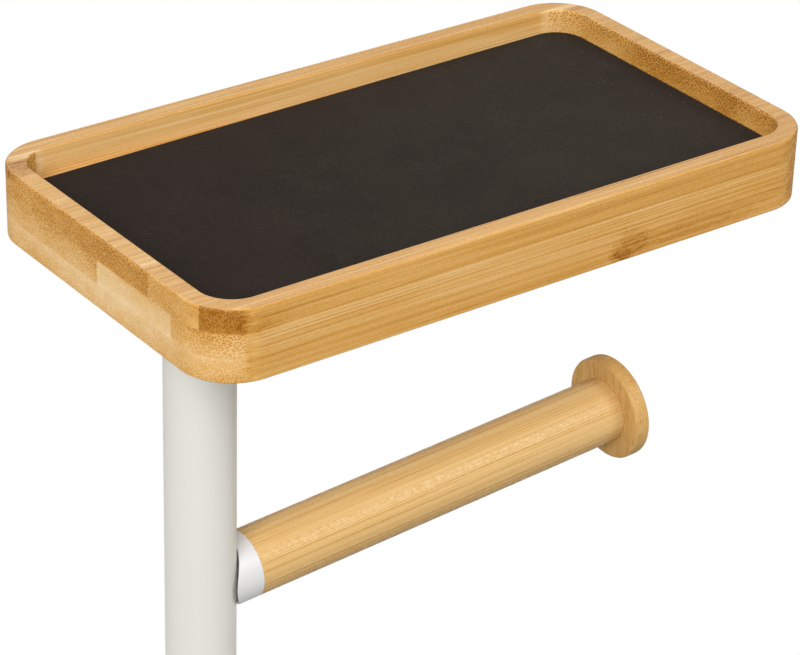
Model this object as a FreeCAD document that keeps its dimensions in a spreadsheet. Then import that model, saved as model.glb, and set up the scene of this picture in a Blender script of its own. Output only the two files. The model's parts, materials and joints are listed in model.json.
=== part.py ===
import FreeCAD, Part
import math
import os
import Sketcher

# A free-standing toilet paper stand: a bamboo tray with a loose mat, on a two-piece steel pole
# with a bamboo roll arm, on a weighted bamboo base.
# Millimetres, +Z up. The origin is on the floor under the middle of the base and of the tray.
# +X runs along the tray towards the arm's free end, +Y to the back.

doc = FreeCAD.newDocument("toilet_paper_stand")

# The driving sizes: name, value, and what it measures
SIZES = [
    ("stand_height", 650, "floor to the top of the tray's rim"),
    ("tray_length", 200, "tray, outside, along X"),
    ("tray_width", 112, "tray, outside, along Y"),
    ("tray_thickness", 21, "tray board, underside to rim"),
    ("tray_corner_radius", 15.6, "tray's outer corners, seen from above"),
    ("tray_edge_easing", 0.8, "rounding of the rim's edges"),
    ("tray_foot_easing", 0.4, "rounding of the tray's bottom edge"),
    ("rim_width", 6, "rim around the pocket"),
    ("pocket_depth", 8.5, "rim to the pocket's floor"),
    ("mat_thickness", 1.5, "mat"),
    ("mat_gap", 0.4, "mat's edges to the pocket's walls"),
    ("mat_trim", 3.4, "cut off the mat's back edge at its left end, down to nothing at its right end"),
    ("pole_diameter", 20, "pole, outside"),
    ("pole_wall", 1.2, "pole's wall"),
    ("pole_inset", 32.2, "pole's axis from the tray's left end"),
    ("pole_upper_length", 300, "upper length of the pole"),
    ("flange_diameter", 50, "plate under the tray"),
    ("flange_thickness", 3, "plate under the tray"),
    ("flange_screw_spacing", 26, "square of screws in the plate, side length"),
    ("screw_diameter", 4, "wood screws, shank"),
    ("screw_head_diameter", 8, "wood screws, pan head"),
    ("screw_head_height", 2.4, "wood screws, pan head"),
    ("tray_screw_length", 11, "tray screws, under the head"),
    ("ballast_screw_length", 12, "ballast screws, under the head"),
    ("screw_hole_clearance", 0.4, "screw holes in metal, on the diameter"),
    ("pilot_clearance", 0.1, "screw holes in wood, on the diameter"),
    ("pilot_room", 0.5, "wood hole beyond a screw's tip"),
    ("plug_length", 24, "threaded plugs inside the pole"),
    ("plug_clearance", 0.1, "plugs in the pole's bore, on the diameter"),
    ("thread_diameter", 8, "studs and base bolt"),
    ("thread_clearance", 0.1, "threads, on the diameter"),
    ("joint_stud_length", 36, "stud that joins the two pole lengths"),
    ("arm_drop", 118.15, "rim's top to the arm's axis, measured on the pole's axis"),
    ("arm_tilt", 3.7, "arm's rise above level, in degrees"),
    ("rod_diameter", 19.8, "rod and collar, outside"),
    ("rod_length", 129.3, "rod between the collar and the disc"),
    ("collar_show", 4.8, "collar in front of the pole"),
    ("saddle_gap", 0.2, "collar's hollow to the pole's surface, where they are closest"),
    ("saddle_radius", 13.2, "collar's hollow, rounder than the pole"),
    ("arm_hole_clearance", 0.6, "stud in the pole's and collar's holes, on the diameter"),
    ("arm_stud_inside", 6, "stud, back from the pole's axis"),
    ("arm_stud_engagement", 16, "stud, inside the rod's insert"),
    ("insert_diameter", 12, "threaded insert in the rod"),
    ("insert_length", 20, "threaded insert in the rod"),
    ("insert_clearance", 0.1, "insert in the rod, on the diameter"),
    ("disc_diameter", 31.8, "end disc"),
    ("disc_thickness", 5, "end disc"),
    ("disc_edge_easing", 0.9, "rounding of the disc's two edges"),
    ("dowel_diameter", 8, "dowel between rod and disc"),
    ("dowel_in_rod", 16, "dowel's length inside the rod"),
    ("dowel_in_disc", 3, "dowel's length inside the disc"),
    ("dowel_clearance", 0.1, "dowel in its holes, on the diameter"),
    ("hole_bottom_room", 0.6, "blind holes beyond the end of what they hold"),
    ("base_length", 220, "base board, along X"),
    ("base_width", 150, "base board, along Y"),
    ("base_thickness", 21, "base board"),
    ("base_corner_radius", 20, "base board's corners, seen from above"),
    ("base_edge_easing", 1.6, "rounding of the base board's top edge"),
    ("base_foot_easing", 0.8, "rounding of the base board's bottom edge"),
    ("socket_depth", 5, "pole's socket in the base board"),
    ("socket_clearance", 0.2, "pole in its socket, on the diameter"),
    ("recess_depth", 9, "recess under the base board"),
    ("recess_clearance", 0.5, "ballast plate to the recess's walls, overall"),
    ("ballast_width", 96, "ballast plate, along Y"),
    ("ballast_thickness", 5, "ballast plate"),
    ("ballast_end_margin", 12, "ballast plate beyond the pole's axis, at each end"),
    ("ballast_corner_radius", 8, "ballast plate's corners"),
    ("ballast_screw_inset", 8, "ballast screws from the plate's edges"),
    ("bolt_length", 28, "base bolt, under the head"),
    ("bolt_head_diameter", 14, "base bolt, button head"),
    ("bolt_head_height", 4.4, "base bolt, button head"),
    ("bolt_hole_clearance", 0.8, "base bolt's holes, on the diameter"),
    ("washer_diameter", 16, "base bolt's washer"),
    ("washer_thickness", 1.6, "base bolt's washer"),
    ("pad_diameter", 16, "rubber pads"),
    ("pad_thickness", 3, "rubber pads"),
    ("pad_inset", 18, "pads' centres from the base board's edges"),
]

sheet = doc.addObject("Spreadsheet::Sheet", "Sizes")
for row, (name, value, note) in enumerate(SIZES, start=1):
    sheet.set(f"A{row}", name)
    sheet.set(f"B{row}", str(value))
    sheet.setAlias(f"B{row}", name)
    sheet.set(f"C{row}", note)
doc.recompute()

# Heights above the floor
TRAY_BOTTOM = "Sizes.stand_height - Sizes.tray_thickness"
POCKET_FLOOR = "Sizes.stand_height - Sizes.pocket_depth"
POLE_TOP = "Sizes.stand_height - Sizes.tray_thickness - Sizes.flange_thickness"
POLE_JOINT = POLE_TOP + " - Sizes.pole_upper_length"
ARM_HEIGHT = "Sizes.stand_height - Sizes.arm_drop"
BOARD_BOTTOM = "Sizes.pad_thickness"
POLE_BOTTOM = "Sizes.pad_thickness + Sizes.base_thickness - Sizes.socket_depth"
PLATE_TOP = "Sizes.pad_thickness + Sizes.recess_depth"
PLATE_BOTTOM = PLATE_TOP + " - Sizes.ballast_thickness"
BOLT_SEAT = PLATE_BOTTOM + " - Sizes.washer_thickness"

# The pole's axis along X, and the pole's radii
POLE_X = "Sizes.pole_inset - Sizes.tray_length / 2"
POLE_RADIUS = "Sizes.pole_diameter / 2"
BORE_RADIUS = "Sizes.pole_diameter / 2 - Sizes.pole_wall"
PLUG_RADIUS = BORE_RADIUS + " - Sizes.plug_clearance / 2"
THREAD_RADIUS = "Sizes.thread_diameter / 2"
THREAD_HOLE_RADIUS = "(Sizes.thread_diameter + Sizes.thread_clearance) / 2"
BOLT_HOLE = "Sizes.thread_diameter + Sizes.bolt_hole_clearance"

# The wood screws' holes in metal and in wood, on the diameter
SCREW_HOLE = "Sizes.screw_diameter + Sizes.screw_hole_clearance"
PILOT = "Sizes.screw_diameter + Sizes.pilot_clearance"

# Distances along the arm, from the pole's axis
COLLAR_END = "Sizes.pole_diameter / 2 + Sizes.collar_show"
DISC_FACE = COLLAR_END + " + Sizes.rod_length"
ARM_HOLE_RADIUS = "(Sizes.thread_diameter + Sizes.arm_hole_clearance) / 2"
ARM_TURN = "90 - Sizes.arm_tilt"

# The mat and the ballast plate, seen from above
POCKET_LENGTH = "Sizes.tray_length - 2 * Sizes.rim_width"
POCKET_WIDTH = "Sizes.tray_width - 2 * Sizes.rim_width"
POCKET_CORNER = "Sizes.tray_corner_radius - Sizes.rim_width"
MAT_LENGTH = POCKET_LENGTH + " - 2 * Sizes.mat_gap"
MAT_WIDTH = POCKET_WIDTH + " - 2 * Sizes.mat_gap"
MAT_CORNER = POCKET_CORNER + " - Sizes.mat_gap"
BALLAST_LENGTH = "Sizes.tray_length - 2 * Sizes.pole_inset + 2 * Sizes.ballast_end_margin"

WHOLE_TURN = 360
SAME_PLACE = 1e-4

subparts = []


def number(expression):
    """The present value of an expression over the sheet."""
    result = sheet.evalExpression(expression)
    return float(getattr(result, "Value", result))


def subpart(item, label):
    """Gives an object the label that names its file and adds it to the sub-parts."""
    item.Label = label
    subparts.append(item)
    return item


def place(item, x="0", y="0", z="0"):
    """Binds the position of an object to three expressions."""
    item.setExpression("Placement.Base.x", x)
    item.setExpression("Placement.Base.y", y)
    item.setExpression("Placement.Base.z", z)


def turn(item, axis, angle):
    """Turns an object about one of its own axes by an expression in degrees."""
    item.Placement = FreeCAD.Placement(item.Placement.Base, FreeCAD.Rotation(axis, number(angle)))
    item.setExpression("Placement.Rotation.Angle", angle)


def lay_on_arm(item):
    """Turns an object's Z axis into the arm's axis, which leaves the pole's axis and rises outwards."""
    turn(item, FreeCAD.Vector(0, 1, 0), ARM_TURN)


def origin_plane(body, role):
    """One of a body's own origin planes or axes."""
    return next(item for item in body.Origin.OriginFeatures if item.Role == role)


def new_body(name):
    """An empty body."""
    return doc.addObject("PartDesign::Body", name)


def new_sketch(body, name, role="XY_Plane", height="0"):
    """An empty sketch on one of the body's origin planes, raised by an expression."""
    sketch = body.newObject("Sketcher::SketchObject", name)
    sketch.AttachmentSupport = [(origin_plane(body, role), "")]
    sketch.MapMode = "FlatFace"
    sketch.setExpression("AttachmentOffset.Base.z", height)
    return sketch


def bind(sketch, name, expression, *constraint):
    """Adds a dimension to a sketch and ties it to an expression."""
    index = sketch.addConstraint(Sketcher.Constraint(*constraint, number(expression)))
    sketch.renameConstraint(index, name)
    sketch.setExpression("Constraints." + name, expression)


def hold_point(sketch, name, geometry, point, x, y):
    """Holds a point of a sketch at x and y from its origin; the expression 0 means on the axis."""
    if x == "0":
        sketch.addConstraint(Sketcher.Constraint("PointOnObject", geometry, point, -2))
    else:
        bind(sketch, name + "_x", x, "DistanceX", -1, 1, geometry, point)
    if y == "0":
        sketch.addConstraint(Sketcher.Constraint("PointOnObject", geometry, point, -1))
    else:
        bind(sketch, name + "_y", y, "DistanceY", -1, 1, geometry, point)


def draw_circle(sketch, name, diameter, x="0", y="0"):
    """Draws a circle at x and y."""
    centre = FreeCAD.Vector(number(x), number(y), 0)
    circle = Part.Circle(centre, FreeCAD.Vector(0, 0, 1), number(diameter) / 2)
    index = sketch.addGeometry(circle)
    hold_point(sketch, name, index, 3, x, y)
    bind(sketch, name + "_diameter", diameter, "Diameter", index)


def draw_rounded_rectangle(sketch, length, width, radius):
    """Draws a rectangle with round corners about the sketch's origin."""
    corner = number(radius)
    across = number(length) / 2 - corner
    along = number(width) / 2 - corner
    quarter = math.radians(90)
    centres = [(across, -along), (across, along), (-across, along), (-across, -along)]
    arcs = []
    for index, (x, y) in enumerate(centres):
        circle = Part.Circle(FreeCAD.Vector(x, y, 0), FreeCAD.Vector(0, 0, 1), corner)
        arcs.append(Part.ArcOfCircle(circle, (index - 1) * quarter, index * quarter))
    sketch.addGeometry(arcs)
    count = len(arcs)
    for index, arc in enumerate(arcs):
        following = (index + 1) % count
        side = sketch.addGeometry(Part.LineSegment(arc.EndPoint, arcs[following].StartPoint))
        sketch.addConstraint(Sketcher.Constraint("Tangent", index, 2, side, 1))
        sketch.addConstraint(Sketcher.Constraint("Tangent", side, 2, following, 1))
        direction = "Horizontal" if index % 2 else "Vertical"
        sketch.addConstraint(Sketcher.Constraint(direction, side))
        if following:
            sketch.addConstraint(Sketcher.Constraint("Equal", index, following))
    right, back, left, front = range(count, 2 * count)
    sketch.addConstraint(Sketcher.Constraint("Symmetric", 0, 3, 2, 3, -1, 1))
    bind(sketch, "corner_radius", radius, "Radius", 0)
    bind(sketch, "outline_length", length, "DistanceX", left, 1, right, 1)
    bind(sketch, "outline_width", width, "DistanceY", front, 1, back, 1)


def draw_profile(sketch, corners):
    """Draws a closed outline of straight lines through corners given as pairs of expressions."""
    points = [FreeCAD.Vector(number(x), number(y), 0) for x, y in corners]
    count = len(points)
    for index in range(count):
        sketch.addGeometry(Part.LineSegment(points[index], points[(index + 1) % count]))
    for index, (x, y) in enumerate(corners):
        sketch.addConstraint(Sketcher.Constraint("Coincident", index, 2, (index + 1) % count, 1))
        hold_point(sketch, f"corner_{index}", index, 1, x, y)


def pad(body, sketch, height):
    """Raises a sketch into a solid."""
    feature = body.newObject("PartDesign::Pad", sketch.Name + "_pad")
    feature.Profile = sketch
    feature.setExpression("Length", height)
    doc.recompute()
    return feature


def cut_out(body, sketch, depth, upwards=False):
    """Sinks a sketch into a body, and makes sure that it removed something."""
    before = body.Shape.Volume
    feature = body.newObject("PartDesign::Pocket", sketch.Name + "_cut")
    feature.Profile = sketch
    feature.Reversed = upwards
    feature.setExpression("Length", depth)
    doc.recompute()
    if body.Shape.Volume >= before:
        raise RuntimeError(sketch.Name + " cuts nothing")
    return feature


def ease(body, base, heights, radius):
    """Rounds the edges that lie level at the given heights in the body's own frame."""
    levels = [number(height) for height in heights]
    names = []
    for index, edge in enumerate(base.Shape.Edges, start=1):
        box = edge.BoundBox
        level = any(abs(box.ZMin - z) < SAME_PLACE and abs(box.ZMax - z) < SAME_PLACE for z in levels)
        if level:
            names.append(f"Edge{index}")
    feature = body.newObject("PartDesign::Fillet", base.Name + "_easing")
    feature.Base = (base, names)
    feature.setExpression("Radius", radius)
    doc.recompute()
    return feature


def turned(name, corners):
    """A body turned about its own Z axis from corners given as radius and height."""
    body = new_body(name)
    sketch = new_sketch(body, name + "_profile", "XZ_Plane")
    draw_profile(sketch, corners)
    feature = body.newObject("PartDesign::Revolution", name + "_turning")
    feature.Profile = sketch
    feature.ReferenceAxis = (sketch, ["V_Axis"])
    feature.Angle = WHOLE_TURN
    doc.recompute()
    return body


def ring(inner, outer, bottom, top):
    """The corners of a turned ring."""
    return [(inner, bottom), (outer, bottom), (outer, top), (inner, top)]


def peg(radius, bottom, top):
    """The corners of a turned solid peg."""
    return ring("0", radius, bottom, top)


def headed(name, shank, head, head_height, length, point):
    """A screw or bolt that points up, with its head's underside at its own zero height."""
    crown = f"{head} - ({head_height}) / 2"
    corners = [
        ("0", f"-({head_height})"),
        (crown, f"-({head_height})"),
        (head, f"-({head_height}) / 2"),
        (head, "0"),
        (shank, "0"),
        (shank, f"{length} - ({point})"),
        (f"{shank} - ({point}) / 2", length),
        ("0", length),
    ]
    return turned(name, corners)


def wood_screw(name, length):
    """A pan-head wood screw."""
    shank = "Sizes.screw_diameter / 2"
    head = "Sizes.screw_head_diameter / 2"
    return headed(name, shank, head, "Sizes.screw_head_height", length, "Sizes.screw_diameter / 2")


def group(label, items):
    """One sub-part made of equal separate solids."""
    compound = doc.addObject("Part::Compound", label)
    compound.Links = items
    return subpart(compound, label)


def cylinder(name, radius, height):
    """A plain cylinder that stands on its own origin."""
    item = doc.addObject("Part::Cylinder", name)
    item.setExpression("Radius", radius)
    item.setExpression("Height", height)
    return item


def difference(name, base, tool):
    """One object cut by another."""
    item = doc.addObject("Part::Cut", name)
    item.Base = base
    item.Tool = tool
    return item


def square_places(spacing_x, spacing_y):
    """The four corners of a rectangle about the origin, as pairs of expressions."""
    return [(f"{across} * ({spacing_x}) / 2", f"{along} * ({spacing_y}) / 2")
            for across in (-1, 1) for along in (-1, 1)]


# Tray: a laminated board with a routed pocket and four pilot holes underneath
FLANGE_SCREWS = square_places("Sizes.flange_screw_spacing", "Sizes.flange_screw_spacing")
TRAY_PILOT_DEPTH = "Sizes.tray_screw_length - Sizes.flange_thickness + Sizes.pilot_room"

tray = subpart(new_body("tray"), "tray")
tray_outline = new_sketch(tray, "tray_outline")
draw_rounded_rectangle(tray_outline, "Sizes.tray_length", "Sizes.tray_width", "Sizes.tray_corner_radius")
pad(tray, tray_outline, "Sizes.tray_thickness")
tray_pocket = new_sketch(tray, "tray_pocket", height="Sizes.tray_thickness")
draw_rounded_rectangle(tray_pocket, POCKET_LENGTH, POCKET_WIDTH, POCKET_CORNER)
tray_hollow = cut_out(tray, tray_pocket, "Sizes.pocket_depth")
tray_topped = ease(tray, tray_hollow, ["Sizes.tray_thickness"], "Sizes.tray_edge_easing")
ease(tray, tray_topped, ["0"], "Sizes.tray_foot_easing")
tray_pilots = new_sketch(tray, "tray_pilots")
for index, (x, y) in enumerate(FLANGE_SCREWS):
    draw_circle(tray_pilots, f"pilot_{index}", PILOT, f"{POLE_X} + {x}", y)
cut_out(tray, tray_pilots, TRAY_PILOT_DEPTH, upwards=True)
place(tray, z=TRAY_BOTTOM)

# Tray mat: a loose sheet that lies on the pocket's floor, its back edge cut out of square
MAT_LEFT = f"-({MAT_LENGTH}) / 2"
MAT_RIGHT = f"({MAT_LENGTH}) / 2"
MAT_BACK = f"({MAT_WIDTH}) / 2"
tray_mat = subpart(new_body("tray_mat"), "tray_mat")
mat_outline = new_sketch(tray_mat, "mat_outline")
draw_rounded_rectangle(mat_outline, MAT_LENGTH, MAT_WIDTH, MAT_CORNER)
pad(tray_mat, mat_outline, "Sizes.mat_thickness")
mat_waste = new_sketch(tray_mat, "mat_waste", height="Sizes.mat_thickness")
draw_profile(mat_waste, [
    (MAT_LEFT, MAT_BACK + " - Sizes.mat_trim"),
    (MAT_RIGHT, MAT_BACK),
    (MAT_RIGHT, MAT_BACK + " + Sizes.mat_trim"),
    (MAT_LEFT, MAT_BACK + " + Sizes.mat_trim"),
])
cut_out(tray_mat, mat_waste, "Sizes.mat_thickness")
place(tray_mat, z=POCKET_FLOOR)

# Tray flange: a plate on the pole's top end that carries the tray
tray_flange = subpart(new_body("tray_flange"), "tray_flange")
flange_outline = new_sketch(tray_flange, "flange_outline")
draw_circle(flange_outline, "rim", "Sizes.flange_diameter")
for index, (x, y) in enumerate(FLANGE_SCREWS):
    draw_circle(flange_outline, f"hole_{index}", SCREW_HOLE, x, y)
pad(tray_flange, flange_outline, "Sizes.flange_thickness")
place(tray_flange, POLE_X, z=POLE_TOP)

# Tray screws: up through the flange into the tray
tray_screws = []
for index, (x, y) in enumerate(FLANGE_SCREWS):
    screw = wood_screw(f"tray_screw_{index}", "Sizes.tray_screw_length")
    place(screw, f"{POLE_X} + {x}", y, POLE_TOP)
    tray_screws.append(screw)
group("tray_screws", tray_screws)

# Upper pole: a tube with a hole for the arm's stud in its right side
UPPER_ARM_HEIGHT = f"{ARM_HEIGHT} - ({POLE_JOINT})"
upper_outside = cylinder("upper_outside", POLE_RADIUS, "Sizes.pole_upper_length")
upper_bore = cylinder("upper_bore", BORE_RADIUS, "Sizes.pole_upper_length")
upper_arm_hole = cylinder("upper_arm_hole", ARM_HOLE_RADIUS, "Sizes.pole_diameter")
lay_on_arm(upper_arm_hole)
place(upper_arm_hole, z=UPPER_ARM_HEIGHT)
upper_tube = difference("upper_tube", upper_outside, upper_bore)
pole_upper = subpart(difference("pole_upper", upper_tube, upper_arm_hole), "pole_upper")
place(pole_upper, POLE_X, z=POLE_JOINT)

# Lower pole: a plain tube from the base's socket to the joint
LOWER_LENGTH = f"{POLE_JOINT} - ({POLE_BOTTOM})"
pole_lower = subpart(turned("pole_lower", ring(BORE_RADIUS, POLE_RADIUS, "0", LOWER_LENGTH)), "pole_lower")
place(pole_lower, POLE_X, z=POLE_BOTTOM)

# Threaded plugs in the pole's ends: one each side of the joint, and one at the foot
PLUG_CORNERS = ring(THREAD_HOLE_RADIUS, PLUG_RADIUS, "0", "Sizes.plug_length")
PLUG_BOTTOMS = {
    "upper_joint_plug": POLE_JOINT,
    "lower_joint_plug": f"{POLE_JOINT} - Sizes.plug_length",
    "foot_plug": POLE_BOTTOM,
}
for label, bottom in PLUG_BOTTOMS.items():
    plug = subpart(turned(label, PLUG_CORNERS), label)
    place(plug, POLE_X, z=bottom)

# Joint stud: half in each of the two joint plugs
joint_stud = subpart(turned("joint_stud", peg(THREAD_RADIUS, "0", "Sizes.joint_stud_length")), "joint_stud")
place(joint_stud, POLE_X, z=f"{POLE_JOINT} - Sizes.joint_stud_length / 2")

# Arm anchor: a plug inside the upper pole with a slanted threaded hole for the arm's stud
ANCHOR_REACH = "Sizes.arm_stud_inside + Sizes.hole_bottom_room"
anchor_blank = cylinder("anchor_blank", PLUG_RADIUS, "Sizes.plug_length")
place(anchor_blank, z="-Sizes.plug_length / 2")
anchor_hole = cylinder("anchor_hole", THREAD_HOLE_RADIUS, f"{ANCHOR_REACH} + {POLE_RADIUS}")
lay_on_arm(anchor_hole)
place(anchor_hole, f"-({ANCHOR_REACH}) * cos(Sizes.arm_tilt)", z=f"-({ANCHOR_REACH}) * sin(Sizes.arm_tilt)")
arm_anchor = subpart(difference("arm_anchor", anchor_blank, anchor_hole), "arm_anchor")
place(arm_anchor, POLE_X, z=ARM_HEIGHT)

# Arm collar: a sleeve between the pole and the rod, hollowed at the back to sit round the pole
collar_blank = cylinder("collar_blank", "Sizes.rod_diameter / 2", COLLAR_END)
lay_on_arm(collar_blank)
collar_bore = cylinder("collar_bore", ARM_HOLE_RADIUS, COLLAR_END)
lay_on_arm(collar_bore)
collar_saddle = cylinder("collar_saddle", "Sizes.saddle_radius", "2 * Sizes.rod_diameter")
place(collar_saddle, f"{POLE_RADIUS} + Sizes.saddle_gap - Sizes.saddle_radius", z="-Sizes.rod_diameter")
collar_sleeve = difference("collar_sleeve", collar_blank, collar_bore)
arm_collar = subpart(difference("arm_collar", collar_sleeve, collar_saddle), "arm_collar")
place(arm_collar, POLE_X, z=ARM_HEIGHT)

# Turned pieces of the arm: their heights are distances along the arm from the pole's axis
INSERT_HOLE_RADIUS = "(Sizes.insert_diameter + Sizes.insert_clearance) / 2"
INSERT_HOLE_END = COLLAR_END + " + Sizes.insert_length + Sizes.hole_bottom_room"
DOWEL_RADIUS = "Sizes.dowel_diameter / 2"
DOWEL_HOLE_RADIUS = "(Sizes.dowel_diameter + Sizes.dowel_clearance) / 2"
DOWEL_ROD_END = DISC_FACE + " - Sizes.dowel_in_rod"
DOWEL_DISC_END = DISC_FACE + " + Sizes.dowel_in_disc"
DOWEL_HOLE_START = DOWEL_ROD_END + " - Sizes.hole_bottom_room"
DISC_BACK = DISC_FACE + " + Sizes.disc_thickness"
ROD_RADIUS = "Sizes.rod_diameter / 2"
DISC_RADIUS = "Sizes.disc_diameter / 2"

ARM_PIECES = {
    "arm_stud": peg(THREAD_RADIUS, "-Sizes.arm_stud_inside", COLLAR_END + " + Sizes.arm_stud_engagement"),
    "rod_insert": ring(
        THREAD_HOLE_RADIUS, "Sizes.insert_diameter / 2", COLLAR_END, COLLAR_END + " + Sizes.insert_length"),
    "roll_rod": [
        (INSERT_HOLE_RADIUS, COLLAR_END),
        (ROD_RADIUS, COLLAR_END),
        (ROD_RADIUS, DISC_FACE),
        (DOWEL_HOLE_RADIUS, DISC_FACE),
        (DOWEL_HOLE_RADIUS, DOWEL_HOLE_START),
        ("0", DOWEL_HOLE_START),
        ("0", INSERT_HOLE_END),
        (INSERT_HOLE_RADIUS, INSERT_HOLE_END),
    ],
    "disc_dowel": peg(DOWEL_RADIUS, DOWEL_ROD_END, DOWEL_DISC_END),
    "end_disc": [
        ("0", DOWEL_DISC_END),
        (DOWEL_HOLE_RADIUS, DOWEL_DISC_END),
        (DOWEL_HOLE_RADIUS, DISC_FACE),
        (DISC_RADIUS, DISC_FACE),
        (DISC_RADIUS, DISC_BACK),
        ("0", DISC_BACK),
    ],
}
for label, corners in ARM_PIECES.items():
    piece = subpart(turned(label, corners), label)
    lay_on_arm(piece)
    place(piece, POLE_X, z=ARM_HEIGHT)

end_disc = doc.getObject("end_disc")
ease(end_disc, end_disc.Tip, [DISC_FACE, DISC_BACK], "Sizes.disc_edge_easing")

# Base board: a laminated board with the pole's socket on top and the ballast plate's recess below
BALLAST_SPACING_X = f"{BALLAST_LENGTH} - 2 * Sizes.ballast_screw_inset"
BALLAST_SPACING_Y = "Sizes.ballast_width - 2 * Sizes.ballast_screw_inset"
BALLAST_SCREWS = square_places(BALLAST_SPACING_X, BALLAST_SPACING_Y)
BALLAST_SCREWS += [("0", f"{along} * ({BALLAST_SPACING_Y}) / 2") for along in (-1, 1)]
BALLAST_PILOT_DEPTH = "Sizes.ballast_screw_length - Sizes.ballast_thickness + Sizes.pilot_room"
SOCKET = "Sizes.pole_diameter + Sizes.socket_clearance"

base_board = subpart(new_body("base_board"), "base_board")
base_outline = new_sketch(base_board, "base_outline")
draw_rounded_rectangle(base_outline, "Sizes.base_length", "Sizes.base_width", "Sizes.base_corner_radius")
base_blank = pad(base_board, base_outline, "Sizes.base_thickness")
base_topped = ease(base_board, base_blank, ["Sizes.base_thickness"], "Sizes.base_edge_easing")
ease(base_board, base_topped, ["0"], "Sizes.base_foot_easing")
base_socket = new_sketch(base_board, "base_socket", height="Sizes.base_thickness")
draw_circle(base_socket, "socket", SOCKET, POLE_X)
cut_out(base_board, base_socket, "Sizes.socket_depth")
base_recess = new_sketch(base_board, "base_recess")
draw_rounded_rectangle(
    base_recess,
    f"{BALLAST_LENGTH} + Sizes.recess_clearance",
    "Sizes.ballast_width + Sizes.recess_clearance",
    "Sizes.ballast_corner_radius")
cut_out(base_board, base_recess, "Sizes.recess_depth", upwards=True)
base_bolt_hole = new_sketch(base_board, "base_bolt_hole")
draw_circle(base_bolt_hole, "hole", BOLT_HOLE, POLE_X)
cut_out(base_board, base_bolt_hole, "Sizes.base_thickness", upwards=True)
base_pilots = new_sketch(base_board, "base_pilots", height="Sizes.recess_depth")
for index, (x, y) in enumerate(BALLAST_SCREWS):
    draw_circle(base_pilots, f"pilot_{index}", PILOT, x, y)
cut_out(base_board, base_pilots, BALLAST_PILOT_DEPTH, upwards=True)
place(base_board, z=BOARD_BOTTOM)

# Ballast plate: a steel plate against the recess's ceiling
ballast_plate = subpart(new_body("ballast_plate"), "ballast_plate")
ballast_outline = new_sketch(ballast_plate, "ballast_outline")
draw_rounded_rectangle(ballast_outline, BALLAST_LENGTH, "Sizes.ballast_width", "Sizes.ballast_corner_radius")
draw_circle(ballast_outline, "bolt_hole", BOLT_HOLE, POLE_X)
for index, (x, y) in enumerate(BALLAST_SCREWS):
    draw_circle(ballast_outline, f"hole_{index}", SCREW_HOLE, x, y)
pad(ballast_plate, ballast_outline, "Sizes.ballast_thickness")
place(ballast_plate, z=PLATE_BOTTOM)

# Ballast screws: up through the plate into the base board
ballast_screws = []
for index, (x, y) in enumerate(BALLAST_SCREWS):
    screw = wood_screw(f"ballast_screw_{index}", "Sizes.ballast_screw_length")
    place(screw, x, y, PLATE_BOTTOM)
    ballast_screws.append(screw)
group("ballast_screws", ballast_screws)

# Base washer and bolt: from below, through the plate and the board into the foot plug
WASHER_CORNERS = ring(f"({BOLT_HOLE}) / 2", "Sizes.washer_diameter / 2", "0", "Sizes.washer_thickness")
base_washer = subpart(turned("base_washer", WASHER_CORNERS), "base_washer")
place(base_washer, POLE_X, z=BOLT_SEAT)
base_bolt = subpart(
    headed(
        "base_bolt", THREAD_RADIUS, "Sizes.bolt_head_diameter / 2",
        "Sizes.bolt_head_height", "Sizes.bolt_length", "Sizes.thread_diameter / 8"),
    "base_bolt")
place(base_bolt, POLE_X, z=BOLT_SEAT)

# Base pads: the stand's four feet, under the corners of the base board
PAD_SPACING_X = "Sizes.base_length - 2 * Sizes.pad_inset"
PAD_SPACING_Y = "Sizes.base_width - 2 * Sizes.pad_inset"
base_pads = []
for index, (x, y) in enumerate(square_places(PAD_SPACING_X, PAD_SPACING_Y)):
    foot = turned(f"base_pad_{index}", peg("Sizes.pad_diameter / 2", "0", "Sizes.pad_thickness"))
    place(foot, x, y)
    base_pads.append(foot)
group("base_pads", base_pads)

doc.recompute()
for item in doc.Objects:
    if "Invalid" in item.State or "Error" in item.State:
        raise RuntimeError(f"{item.Label} failed: {item.State}")
os.makedirs("parts", exist_ok=True)
for item in subparts:
    if item.Shape.isNull() or not item.Shape.isValid():
        raise RuntimeError(item.Label + " has no valid shape")
    item.Shape.exportStep(f"parts/{item.Label}.step")
    print(item.Label, len(item.Shape.Solids), round(item.Shape.Volume, 1), item.Shape.BoundBox)
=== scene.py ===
# %% [markdown]
# # A toilet paper stand
# The stand is a bamboo tray with a loose dark mat, on a white steel pole. A short bamboo arm on the pole
# takes the roll, and a weighted bamboo board keeps it upright. The solid model is loaded first and stays
# where it is: every piece below is modelled around it in the same frame, in metres, with +X towards the
# free end of the arm, +Y to the back and +Z up.

# %% Load the solid model
import json
import math
import random
from collections import namedtuple

import bpy
from mathutils import Matrix, Vector

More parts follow.
